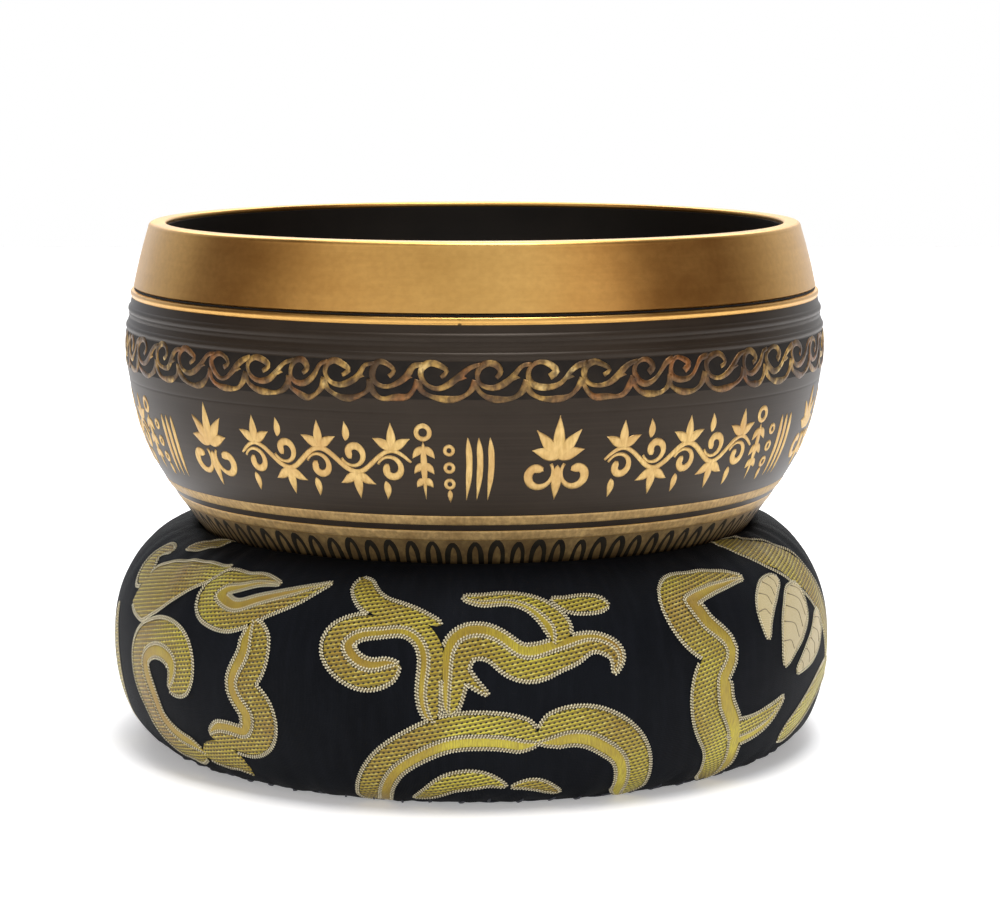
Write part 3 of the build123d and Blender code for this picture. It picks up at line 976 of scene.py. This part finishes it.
# Each figure of the brocade is a band: places (x, y) along its middle, with its width there.
# The first number is the side of the plain gold stripe as the band is followed: 1 left,
# -1 right, 0 none.
FIGURES = {
    "leaf_curl": (1, [
        (-46, 50, 0.6), (-51, 50.5, 3), (-56.5, 49.5, 4.5), (-61.5, 48.2, 7), (-63.5, 45, 9),
        (-59.5, 42.2, 7.5), (-54, 42, 6.5), (-49.5, 44, 6), (-44.5, 46, 5), (-39.5, 48, 4),
        (-33, 51.5, 0.6),
    ]),
    "cloud_edge": (-1, [
        (-49, 41.5, 6), (-48, 38.5, 7.5), (-48.5, 32.5, 8), (-50.8, 28, 7), (-47, 23.5, 9),
        (-46.8, 19.5, 9.5), (-50, 16.2, 7), (-55, 16.4, 6.6), (-61, 16, 6),
    ]),
    "cloud_foot": (0, [
        (-66, 10, 5), (-58.5, 11.5, 8), (-54, 9, 5), (-52.8, 6.5, 1),
    ]),
    "left_curl": (1, [
        (-72.5, 24, 4.5), (-69, 27, 8.5), (-69, 31, 9.5), (-74, 33.8, 8.5), (-81, 33, 8),
        (-86, 29, 9.5), (-85.5, 24.5, 10), (-82.5, 20, 9.5), (-80.5, 16, 9), (-77, 12.8, 9),
        (-72, 11, 8), (-65, 10.4, 6),
    ]),
    "fan_leaf": (0, [
        (-63, 52.2, 0.6), (-68, 50, 5), (-74.5, 47.8, 8.5), (-81.5, 45, 12), (-89, 41.8, 13),
        (-95.5, 38.5, 9),
    ]),
    "fan_curl": (0, [
        (-92, 51.8, 1), (-97.5, 51, 4.5), (-99, 47.5, 7), (-93, 44, 8),
    ]),
    "hook": (-1, [
        (-15, 35.2, 4), (-20.5, 33, 6), (-25.5, 34.5, 6.5), (-28, 38.5, 7.5), (-24.5, 41.8, 5.5),
        (-19.5, 42.6, 4.8), (-14.5, 43, 4.8), (-10.5, 41, 5), (-8.5, 37, 5.5), (-8.8, 32.5, 5),
        (-9, 28, 4.6), (-8, 24, 3),
    ]),
    "hook_top": (0, [
        (-26.5, 53.5, 5), (-23, 48, 5.5), (-18.5, 46, 4.5), (-13.5, 45, 3.6), (-7, 43, 1.5),
    ]),
    "body": (1, [
        (-5, 25.5, 2.5), (-4.5, 29.5, 4.5), (-4, 34.5, 5.5), (-2.5, 39, 7.2), (1.2, 40, 7),
        (4.8, 38.6, 6.5), (8, 36.2, 7), (12, 35.6, 7.5), (16, 36.8, 6.5), (20, 38, 6), (23, 39, 4),
        (26.5, 38.5, 3.6), (29, 36.3, 3.5), (28.2, 32.5, 0.6),
    ]),
    "body_spur": (0, [
        (-3, 34.5, 3), (-0.5, 32, 2), (2.5, 29.5, 0.5),
    ]),
    "body_hook": (1, [
        (16.2, 39, 5.5), (17.2, 42, 6), (15, 45.5, 5), (11.5, 48, 3.5), (6, 49, 2.6),
        (1.5, 48.6, 2.8), (-2.8, 49.2, 1.2),
    ]),
    "side_leaf": (0, [
        (16.5, 48.8, 0.6), (19.5, 47.6, 3.5), (23, 47.2, 4.4), (27, 47, 4), (29.2, 46.5, 2),
    ]),
    "arch_left": (-1, [
        (-23.2, 1.0, 7.5), (-21.5, 8.5, 7.5), (-18, 14.5, 7.2), (-12, 19, 7.2), (-5.5, 21.8, 7.5),
        (1, 22.3, 7.5), (7, 21.6, 7.4), (13, 19.6, 6.6),
    ]),
    "arch_right": (-1, [
        (12.4, 19.6, 6.6), (17, 22, 8), (23.5, 22, 8.6), (28.5, 19.5, 8.8), (32.5, 15.6, 8),
        (34.2, 11, 8), (35.0, 1.0, 8),
    ]),
    "under_curl": (0, [
        (-13.5, 4.5, 1.5), (-9, 7.8, 4.2), (-5.5, 10.2, 5), (-0.5, 11.2, 5), (3.5, 10.6, 3),
        (6.5, 9.2, 0.6),
    ]),
    "under_leaf": (0, [
        (7.5, 9, 0.6), (11.5, 9.4, 3.4), (16, 7.6, 3), (18.5, 6, 1),
    ]),
    "right_cloud": (1, [
        (69, 48.8, 1), (62, 49.5, 4.5), (53, 49, 7), (46.8, 46.5, 10), (48, 42, 11),
        (51.5, 37.6, 9.5), (55.5, 33.6, 7.6), (52.8, 30.4, 9.5), (52, 26.4, 11.5),
        (53, 21.6, 11.5), (56.5, 16, 11), (58.5, 9, 10), (60.2, 1.0, 8.5),
    ]),
    "right_hook": (-1, [
        (57.5, 15.6, 7), (64.5, 16, 6), (71, 18, 5), (76, 21.4, 1),
    ]),
    "top_gold": (0, [
        (73, 60.5, 6), (80, 56.5, 10), (88, 51.5, 12), (95.5, 45.5, 12), (100.5, 38.5, 10),
        (103, 30.5, 6), (103.5, 24, 2),
    ]),
    "far_left": (0, [
        (-108, 36, 2), (-106.5, 29, 5), (-105.5, 21, 6), (-107.5, 13.5, 4.5), (-111, 8, 2),
    ]),
    "far_right": (0, [
        (79.5, 10.5, 5), (87, 14.5, 7), (95, 19.5, 6.5), (104, 22, 5), (112, 20, 2),
    ]),
    "left_pinch": (0, [
        (-87, 54, 2), (-82, 57, 5), (-76, 60.5, 5),
    ]),
}
PALE_LEAVES = [
    [(82, 46.5, 2), (75.5, 44.5, 5.5), (71, 40.5, 5.5), (70, 34.6, 1)],
    [(90, 43.5, 7), (85.5, 39.5, 10), (80, 34.8, 9.5), (75.5, 28, 2)],
    [(97, 36.5, 4.5), (93, 31.5, 6.5), (87, 28.2, 5), (81, 25.8, 1.2)],
]
MID_LINE = 0.30  # where the stripe's outline runs, as a part of the half width
MID_GAP = 0.06  # left bare on each side of it, as a part of the half width
BARE_EDGE = 0.30  # navy left bare at a figure's edge, in mm
CORD_HALF = 0.24  # half the width of the cord under an outline, in mm
# Heights above the cloth, in mm. Figures that overlap lie on slightly different levels.
FIGURE_LIFT, LEVEL_STEP, LEVELS = 0.10, 0.017, 0.1
CORD_RISE, LEAF_LIFT, LEAF_EDGE_LIFT, RIB_LIFT = 0.04, 0.16, 0.14, 0.22


def figure_band(points, spacing=0.8):
    """A figure's middle line and half widths, closely spaced, with a rounded start."""
    places = [p[:2] for p in points]
    rough = fair(places, 200)
    length = np.hypot(*np.diff(rough, axis=0).T).sum()
    count = max(int(length / spacing), 12)
    line = fair(places, count)
    knots = np.r_[0, np.cumsum(np.hypot(*np.diff(np.array(places), axis=0).T))]
    widths = np.interp(np.linspace(0, knots[-1], count), knots, [p[2] for p in points])
    smooth = np.convolve(np.pad(widths, 2, mode="edge"), np.ones(5) / 5, mode="valid")
    t = np.linspace(0, length, count)
    ends = np.sqrt(np.clip(np.minimum(t, length - t) / (smooth / 2), 0.02, 1))
    return line, smooth / 2 * ends


class Brocade:
    """Gathers the woven figures: dotted fields, plain stripes, pale leaves and outlines."""

    def __init__(self, cloth):
        self.cloth = cloth
        self.field, self.stripe, self.pale = Sheets(cloth), Sheets(cloth), Sheets(cloth)
        self.cord, self.crease = Sheets(cloth, across=4), Sheets(cloth, across=4)
        self.ticks = Ticks(cloth)
        self.bands, self.outlines = [], []
        self.level = 0.0

    def figure(self, points, stripe, shift, flip=1):
        points = [(flip * x + shift, y, w) for x, y, w in points]
        line, half = figure_band(points)
        side = left_of(line)
        self.level = (self.level + LEVEL_STEP) % LEVELS
        lift = FIGURE_LIFT + self.level
        edge = 1 - BARE_EDGE / np.maximum(half, 0.6)
        if stripe:
            middle = MID_LINE * stripe * flip
            low = -edge, np.full(len(line), middle - MID_GAP)
            high = np.full(len(line), middle + MID_GAP), edge
            field, plain = (low, high) if stripe * flip > 0 else (high, low)
            self.field.add(line, side, half, *field, lift)
            self.stripe.add(line, side, half, *plain, lift)
            self.edge(line + side * (half * middle)[:, None], lift)
        else:
            self.field.add(line, side, half, -edge, edge, lift)
        for a in (-1, 1):
            self.outlines.append((line + side * (half * a)[:, None], len(self.bands), lift))
        self.bands.append((line, half))

    def outline(self):
        """Draws the figures' edges, but not where a figure runs into another or into itself."""
        for edge, own, lift in self.outlines:
            bare = np.ones(len(edge), bool)
            for k, (line, half) in enumerate(self.bands):
                if np.abs(line.mean(0) - edge.mean(0)).max() < 60:
                    apart = np.hypot(*(edge[:, None] - line[None]).transpose(2, 0, 1))
                    nearest = apart.argmin(1)
                    bare &= apart.min(1) > half[nearest] - (0.25 if k == own else 0.45)
            for stretch in np.split(np.arange(len(edge)), np.flatnonzero(np.diff(bare)) + 1):
                if bare[stretch[0]] and len(stretch) > 7:
                    self.edge(edge[stretch], lift)

    def edge(self, line, lift):
        """One outline: a thin cord under a row of slanting floats, coloured dark brown as painted
        shade in the gaps between them.
        """
        side = left_of(line)
        flat, whole = np.full(len(line), CORD_HALF), np.ones(len(line))
        self.cord.add(line, side, flat, -whole, whole, lift + CORD_RISE)
        self.ticks.add(line, lift)

    def pale_leaf(self, points, shift, flip=1):
        line, half = figure_band([(flip * x + shift, y, w) for x, y, w in points])
        side = left_of(line)
        edge = np.ones(len(line))
        self.pale.add(line, side, half, -edge, edge, LEAF_LIFT)
        for a in (-1, 1):
            self.edge(line + side * (half * a)[:, None], LEAF_EDGE_LIFT)
        ahead = np.stack([side[:, 1], -side[:, 0]], axis=1)
        t = np.linspace(-0.86, 0.86, 12)[:, None]
        for i in range(4, len(line) - 3, 4):
            rib = line[i] + half[i] * (side[i] * t - ahead[i] * 0.55 * (1 - np.abs(t)))
            rib = fair(rib[::2], 12)
            thin = np.full(12, 0.15)
            self.crease.add(rib, left_of(rib), thin, -np.ones(12), np.ones(12), RIB_LIFT)


class Sheets:
    """Flat woven areas that follow the cloth, gathered into one mesh."""

    EDGE_DROP = 0.16

    def __init__(self, cloth, across=9):
        self.cloth, self.across = cloth, across
        self.verts, self.faces, self.uvs, self.count = [], [], [], 0

    def add(self, line, side, half, low, high, lift):
        t = np.linspace(0, 1, self.across)
        crown = 1 - np.abs(2 * t - 1) ** 4
        parts = []
        for a, c in zip(t, crown):
            flat = line + side * (half * (low * (1 - a) + high * a))[:, None]
            parts.append((flat, self.cloth(flat, lift - self.EDGE_DROP * (1 - c))))
        for a in (1, 0):
            flat = line + side * (half * (low * (1 - a) + high * a))[:, None]
            parts.append((flat, self.cloth(flat, -0.15)))
        points = np.stack([p[1] for p in parts], axis=1)
        flats = np.stack([p[0] for p in parts], axis=1).reshape(-1, 2)
        n, m = points.shape[:2]
        quads = grid_faces(n, m, closed_columns=True)
        first, last = np.arange(m)[::-1], np.arange(m) + (n - 1) * m
        self.faces += [tuple(q + self.count) for q in quads]
        self.faces += [tuple(first + self.count), tuple(last + self.count)]
        self.uvs += [flats[q] for q in quads] + [flats[first], flats[last]]
        self.verts.append(points.reshape(-1, 3))
        self.count += n * m

    def build(self, name, material):
        uvs = np.concatenate(self.uvs) * UV_SCALE
        verts = np.concatenate(self.verts)
        return piece(name, verts, self.faces, "cushion", material, uvs=uvs)


class Ticks:
    """The outline of every figure: short slanting floats of cream thread."""

    PITCH, LENGTH, WIDTH, RISE, SLANT = 0.64, 1.0, 0.34, 0.12, radians(60)

    def __init__(self, cloth):
        self.cloth = cloth
        self.verts, self.faces, self.count = [], [], 0

    def add(self, line, lift):
        run = np.r_[0, np.cumsum(np.hypot(*np.diff(line, axis=0).T))]
        number = int(run[-1] / self.PITCH)
        if number < 2:
            return
        at = (np.arange(number) + 0.5) * run[-1] / number
        places = np.stack([np.interp(at, run, axis) for axis in line.T], axis=1)
        side = left_of(places) if number > 2 else np.repeat(left_of(line)[:1], number, axis=0)
        ahead = np.stack([side[:, 1], -side[:, 0]], axis=1)
        along = side * sin(self.SLANT) + ahead * cos(self.SLANT)
        across = np.stack([-along[:, 1], along[:, 0]], axis=1)
        half, wide = self.LENGTH / 2, self.WIDTH / 2
        corners = ((-half, -wide, 0), (half, -wide, 0), (half, wide, 0), (-half, wide, 0))
        ridge = ((-half * 0.6, 0, 1), (half * 0.6, 0, 1))
        points = []
        for a, b, c in corners + ridge:
            flat = places + along * a + across * b
            points.append(self.cloth(flat, lift - 0.06 + self.RISE * c))
        points = np.stack(points, axis=1).reshape(-1, 3)
        shape = ((0, 1, 5, 4), (2, 3, 4, 5), (1, 2, 5), (3, 0, 4), (3, 2, 1, 0))
        for k in range(number):
            self.faces += [tuple(i + self.count + 6 * k for i in face) for face in shape]
        self.verts.append(points)
        self.count += len(points)

    def build(self, name, material):
        verts = np.concatenate(self.verts)
        return piece(name, verts, self.faces, "cushion", material)


def make_brocade(cloth):
    brocade = Brocade(cloth)
    half_turn = pi * RING
    for shift in (0.0, half_turn):
        for stripe, points in FIGURES.values():
            brocade.figure(points, stripe, shift)
        for points in PALE_LEAVES:
            brocade.pale_leaf(points, shift)
    brocade.outline()
    brocade.field.build("brocade_gold_field", gold_weave())
    brocade.stripe.build("brocade_gold_stripe", gold_stripe())
    pale = cloth_material("pale_gold_thread", (0.34, 0.265, 0.115), (0.62, 0.52, 0.27), 1600, 0.5)
    brocade.pale.build("brocade_pale_leaves", pale)
    cream = cloth_material("cream_thread", (0.62, 0.54, 0.30), (0.90, 0.84, 0.62), 1500, 0.5)
    brocade.ticks.build("brocade_outline", cream)
    # dark brown cord: painted shade showing in the gaps between the cream floats
    cord = cloth_material("outline_cord_painted_shade", (0.090, 0.068, 0.028), (0.22, 0.175, 0.075), 1200, 0.7)
    brocade.cord.build("brocade_cord", cord)
    brown = cloth_material("brown_thread", (0.10, 0.072, 0.030), (0.20, 0.15, 0.065), 1500, 0.7)
    brocade.crease.build("brocade_leaf_ribs", brown)


def shell_between(name, outer, inner, material):
    """A closed skin between two grids of the same size, joined along their first and last rows."""
    rows, columns = outer.shape[:2]
    verts = np.concatenate([outer.reshape(-1, 3), inner.reshape(-1, 3)])
    out_faces = grid_faces(rows, columns, closed_columns=True)
    in_faces = out_faces[:, ::-1] + rows * columns
    j = np.arange(columns)
    j2 = (j + 1) % columns
    size = rows * columns
    top = (rows - 1) * columns
    first_rim = np.stack([j2, j, j + size, j2 + size], 1)
    last_rim = np.stack([j + top, j2 + top, j2 + top + size, j + top + size], 1)
    faces = np.concatenate([out_faces, in_faces, first_rim, last_rim])
    i, k = np.meshgrid(np.arange(rows - 1), np.arange(columns), indexing="ij")
    u0, u1, v0, v1 = k / columns, (k + 1) / columns, i / (rows - 1), (i + 1) / (rows - 1)
    corners = ((u0, v0), (u1, v0), (u1, v1), (u0, v1))
    uv = np.stack([np.stack(c, -1) for c in corners], axis=2).reshape(-1, 2)
    back = uv.reshape(-1, 4, 2)[:, ::-1].reshape(-1, 2)
    rest = np.zeros((8 * columns, 2))
    uvs = np.concatenate([uv, back, rest])
    return piece(name, verts, faces, "cushion", material, uvs=uvs)


def make_cushion():
    points = stuffed_cover()
    cloth = Cloth(points)
    lining = points - cloth.normals * 0.6
    cover = shell_between("cushion_cover", points, lining, satin())
    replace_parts(cover, "brocade_cover")
    make_brocade(cloth)
    make_stuffing(points - cloth.normals * 0.75)
    make_underside()
    make_stitches(cloth)


def make_stuffing(skin):
    """The stuffing, just inside the cover and the cloth underneath."""
    cotton = cloth_material("cotton_wadding", (0.55, 0.51, 0.43), (0.80, 0.77, 0.69), 300, 0.95)
    skin = skin.copy()
    skin[..., 2] = np.maximum(skin[..., 2], 0.85)
    verts = skin.reshape(-1, 3)
    faces = grid_faces(UP, ROUND, closed_columns=True, closed_rows=True)
    stuffing = piece("stuffing", verts, faces, "cushion", cotton)
    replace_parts(stuffing, "filling_ring")


def make_underside():
    """The plain cloth that closes the ring underneath, drawn into small pleats at its seams."""
    navy = cloth_material("navy_cotton", (0.008, 0.010, 0.017), (0.022, 0.026, 0.042), 900, 0.85)
    low, high = 0.02, 0.78
    radii = np.linspace(38.3, 67.6, 26)
    angles = np.arange(ROUND) / ROUND * tau
    near_edge = np.exp(-(radii - radii[0]) / 2.5) + np.exp(-(radii[-1] - radii) / 2.5)
    pleats = 0.14 * (np.cos(58 * angles + 0.4) + np.cos(37 * angles + 1.9)) + 0.2
    lift = near_edge[:, None] * np.clip(pleats, 0, 1)[None]
    under = ring_points(np.stack([radii, np.full(26, low)], 1), angles)
    under[..., 2] += lift
    over = ring_points(np.stack([radii, np.full(26, high)], 1), angles)
    cloth = shell_between("underside_cloth", over, under, navy)
    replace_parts(cloth, "base_cloth")


def make_stitches(cloth):
    """Hand stitches over the bottom seams and up the join at the back."""
    thread = cloth_material("navy_thread", (0.010, 0.012, 0.022), (0.05, 0.055, 0.08), 2500, 0.6)
    hand = np.random.default_rng(5)
    seams = (
        ("outer_stitches", "outer_seam_stitches", 1.9, 72),
        ("inner_stitches", "inner_seam_stitches", cloth.length - 1.9, 44),
    )
    for name, node, y, count in seams:
        strokes = Strokes(cloth, height=0.34, sink=0.1)
        for i in range(count):
            x = (i + 0.5 + hand.normal(0, 0.06)) * tau * RING / count
            lean = hand.normal(0.5, 0.2)
            line = [(x - lean, y - 1.5), (x, y), (x + lean, y + 1.5)]
            strokes.add(*tapered(line, 0.6, count=9, start=0.3, end=0.3, tip=0.35))
        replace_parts(strokes.build(name, "cushion", "sewing_thread", thread), node)
    strokes = Strokes(cloth, height=0.34, sink=0.1)
    rows = 13
    for i in range(rows):
        y = 5 + 42 * i / (rows - 1)
        x = pi * RING
        lean = 0.7 if i % 2 else -0.7
        line = [(x - 1.5, y - lean), (x, y), (x + 1.5, y + lean)]
        strokes.add(*tapered(line, 0.6, count=9, start=0.3, end=0.3, tip=0.35))
    stitches = strokes.build("back_stitches", "cushion", "sewing_thread", thread)
    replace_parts(stitches, "back_seam_stitches")


# ------------------------------------------------------------------ studio
def make_floor():
    s = Shader("pale_floor", Roughness=0.85, Emission_Strength=0.30)
    s.bsdf.inputs["Emission Color"].default_value = (1, 1, 1, 1)
    weave = s.noise(s.place((900, 900, 1)), 1.0, 2.0)
    s.link(s.ramp(weave, (0.3, (0.86, 0.86, 0.87)), (0.7, (0.90, 0.90, 0.91))), "Base Color")
    half = 1500
    verts = [(-half, -half, -0.05), (half, -half, -0.05), (half, half, -0.05), (-half, half, -0.05)]
    mesh = bpy.data.meshes.new("floor")
    mesh.from_pydata([tuple(c * MM for c in v) for v in verts], [], [(0, 1, 2, 3)])
    mesh.materials.append(s.material)
    floor = bpy.data.objects.new("floor", mesh)
    bpy.context.collection.objects.link(floor)


def make_world():
    """A white room behind the bowl and a lit one in front, with a dark opening on either side.

    Each stop is a bearing in degrees, from the camera's side towards +X, and the light there.
    High up, the room is dim.
    """
    dark = (0.085, 0.042, 0.022)
    stops = (
        (-180, (1.00, 1.00, 1.00)),
        (-153, (0.78, 0.80, 0.84)),
        (-135, (0.52, 0.55, 0.60)),
        (-118, (0.48, 0.47, 0.45)),
        (-104, dark),
        (-80, dark),
        (-66, (0.32, 0.25, 0.20)),
        (-50, (0.68, 0.62, 0.58)),
        (-8, (0.65, 0.64, 0.62)),
        (17, (0.86, 0.90, 0.97)),
        (30, (0.70, 0.64, 0.58)),
        (47, (0.72, 0.56, 0.47)),
        (57, dark),
        (98, dark),
        (114, (0.38, 0.35, 0.32)),
        (135, (0.66, 0.68, 0.70)),
        (180, (1.00, 1.00, 1.00)),
    )
    world = bpy.data.worlds.new("studio")
    world.use_nodes = True
    bpy.context.scene.world = world
    tree = world.node_tree
    tree.nodes.clear()
    new, link = tree.nodes.new, tree.links.new
    turn = new("ShaderNodeMapping")
    turn.inputs["Rotation"].default_value = (0, 0, radians(90))
    link(new("ShaderNodeTexCoord").outputs["Generated"], turn.inputs["Vector"])
    bearing = new("ShaderNodeTexGradient")
    bearing.gradient_type = "RADIAL"
    link(turn.outputs[0], bearing.inputs[0])
    walls = world_ramp(new, [(0.5 + degree / 360, colour) for degree, colour in stops])
    link(bearing.outputs["Fac"], walls.inputs["Fac"])
    split = new("ShaderNodeSeparateXYZ")
    link(turn.outputs[0], split.inputs[0])
    height = world_ramp(new, [(0.45, (1, 1, 1)), (0.80, (0.30, 0.30, 0.30))])
    link(split.outputs["Z"], height.inputs["Fac"])
    shade = new("ShaderNodeMix")
    shade.data_type = "RGBA"
    shade.blend_type = "MULTIPLY"
    shade.inputs[0].default_value = 1.0
    link(walls.outputs[0], shade.inputs[6])
    link(height.outputs[0], shade.inputs[7])
    rays = new("ShaderNodeLightPath")
    mix = new("ShaderNodeMixShader")
    room, backdrop = new("ShaderNodeBackground"), new("ShaderNodeBackground")
    link(shade.outputs[2], room.inputs["Color"])
    room.inputs["Strength"].default_value = 1.25
    backdrop.inputs["Color"].default_value = (1, 1, 1, 1)
    backdrop.inputs["Strength"].default_value = 1.0
    link(rays.outputs["Is Camera Ray"], mix.inputs[0])
    link(room.outputs[0], mix.inputs[1])
    link(backdrop.outputs[0], mix.inputs[2])
    link(mix.outputs[0], new("ShaderNodeOutputWorld").inputs["Surface"])


def world_ramp(new, stops):
    """A colour ramp node with the given (place, colour) stops."""
    node = new("ShaderNodeValToRGB")
    elements = node.color_ramp.elements
    while len(elements) < len(stops):
        elements.new(0.5)
    for element, (place, colour) in zip(elements, stops):
        element.position = place
        element.color = (*colour, 1)
    return node


def area_light(name, place, aim, size, power, colour=(1, 1, 1)):
    light = bpy.data.lights.new(name, "AREA")
    light.shape = "RECTANGLE"
    light.size, light.size_y = size
    light.energy = power
    light.color = colour
    obj = bpy.data.objects.new(name, light)
    bpy.context.collection.objects.link(obj)
    obj.location = place
    obj.rotation_euler = (Vector(aim) - Vector(place)).to_track_quat("-Z", "Y").to_euler()


def make_studio():
    bpy.context.scene.view_settings.view_transform = "Standard"
    make_floor()
    make_world()
    centre = (0, 0, 0.07)
    area_light("key_softbox", (0.08, -0.26, 1.15), centre, (0.5, 0.35), 6.5, (1.0, 0.98, 0.95))
    area_light("overhead", (0, 0.15, 1.3), centre, (1.0, 0.8), 7.5)
    area_light("window", (0.15, -0.46, 0.85), centre, (0.14, 0.22), 1.3, (0.86, 0.93, 1.0))
    area_light("floor_wash", (0, 0.9, 0.9), (0, 0.5, 0), (1.6, 0.6), 10.0)


def make_camera():
    """A long lens a little above the rim, aimed slightly right of the bowl and down at its foot."""
    distance, height = 0.655, 0.1538
    pitch, yaw = 8.0, 0.48
    data = bpy.data.cameras.new("camera")
    data.sensor_width = 36
    data.lens = 107.96
    camera = bpy.data.objects.new("camera", data)
    camera.location = (0, -distance, height)
    camera.rotation_euler = Euler((radians(90 - pitch), 0, radians(-yaw)))
    bpy.context.collection.objects.link(camera)
    bpy.context.scene.camera = camera


make_bowl()
make_cushion()
make_studio()
make_camera()
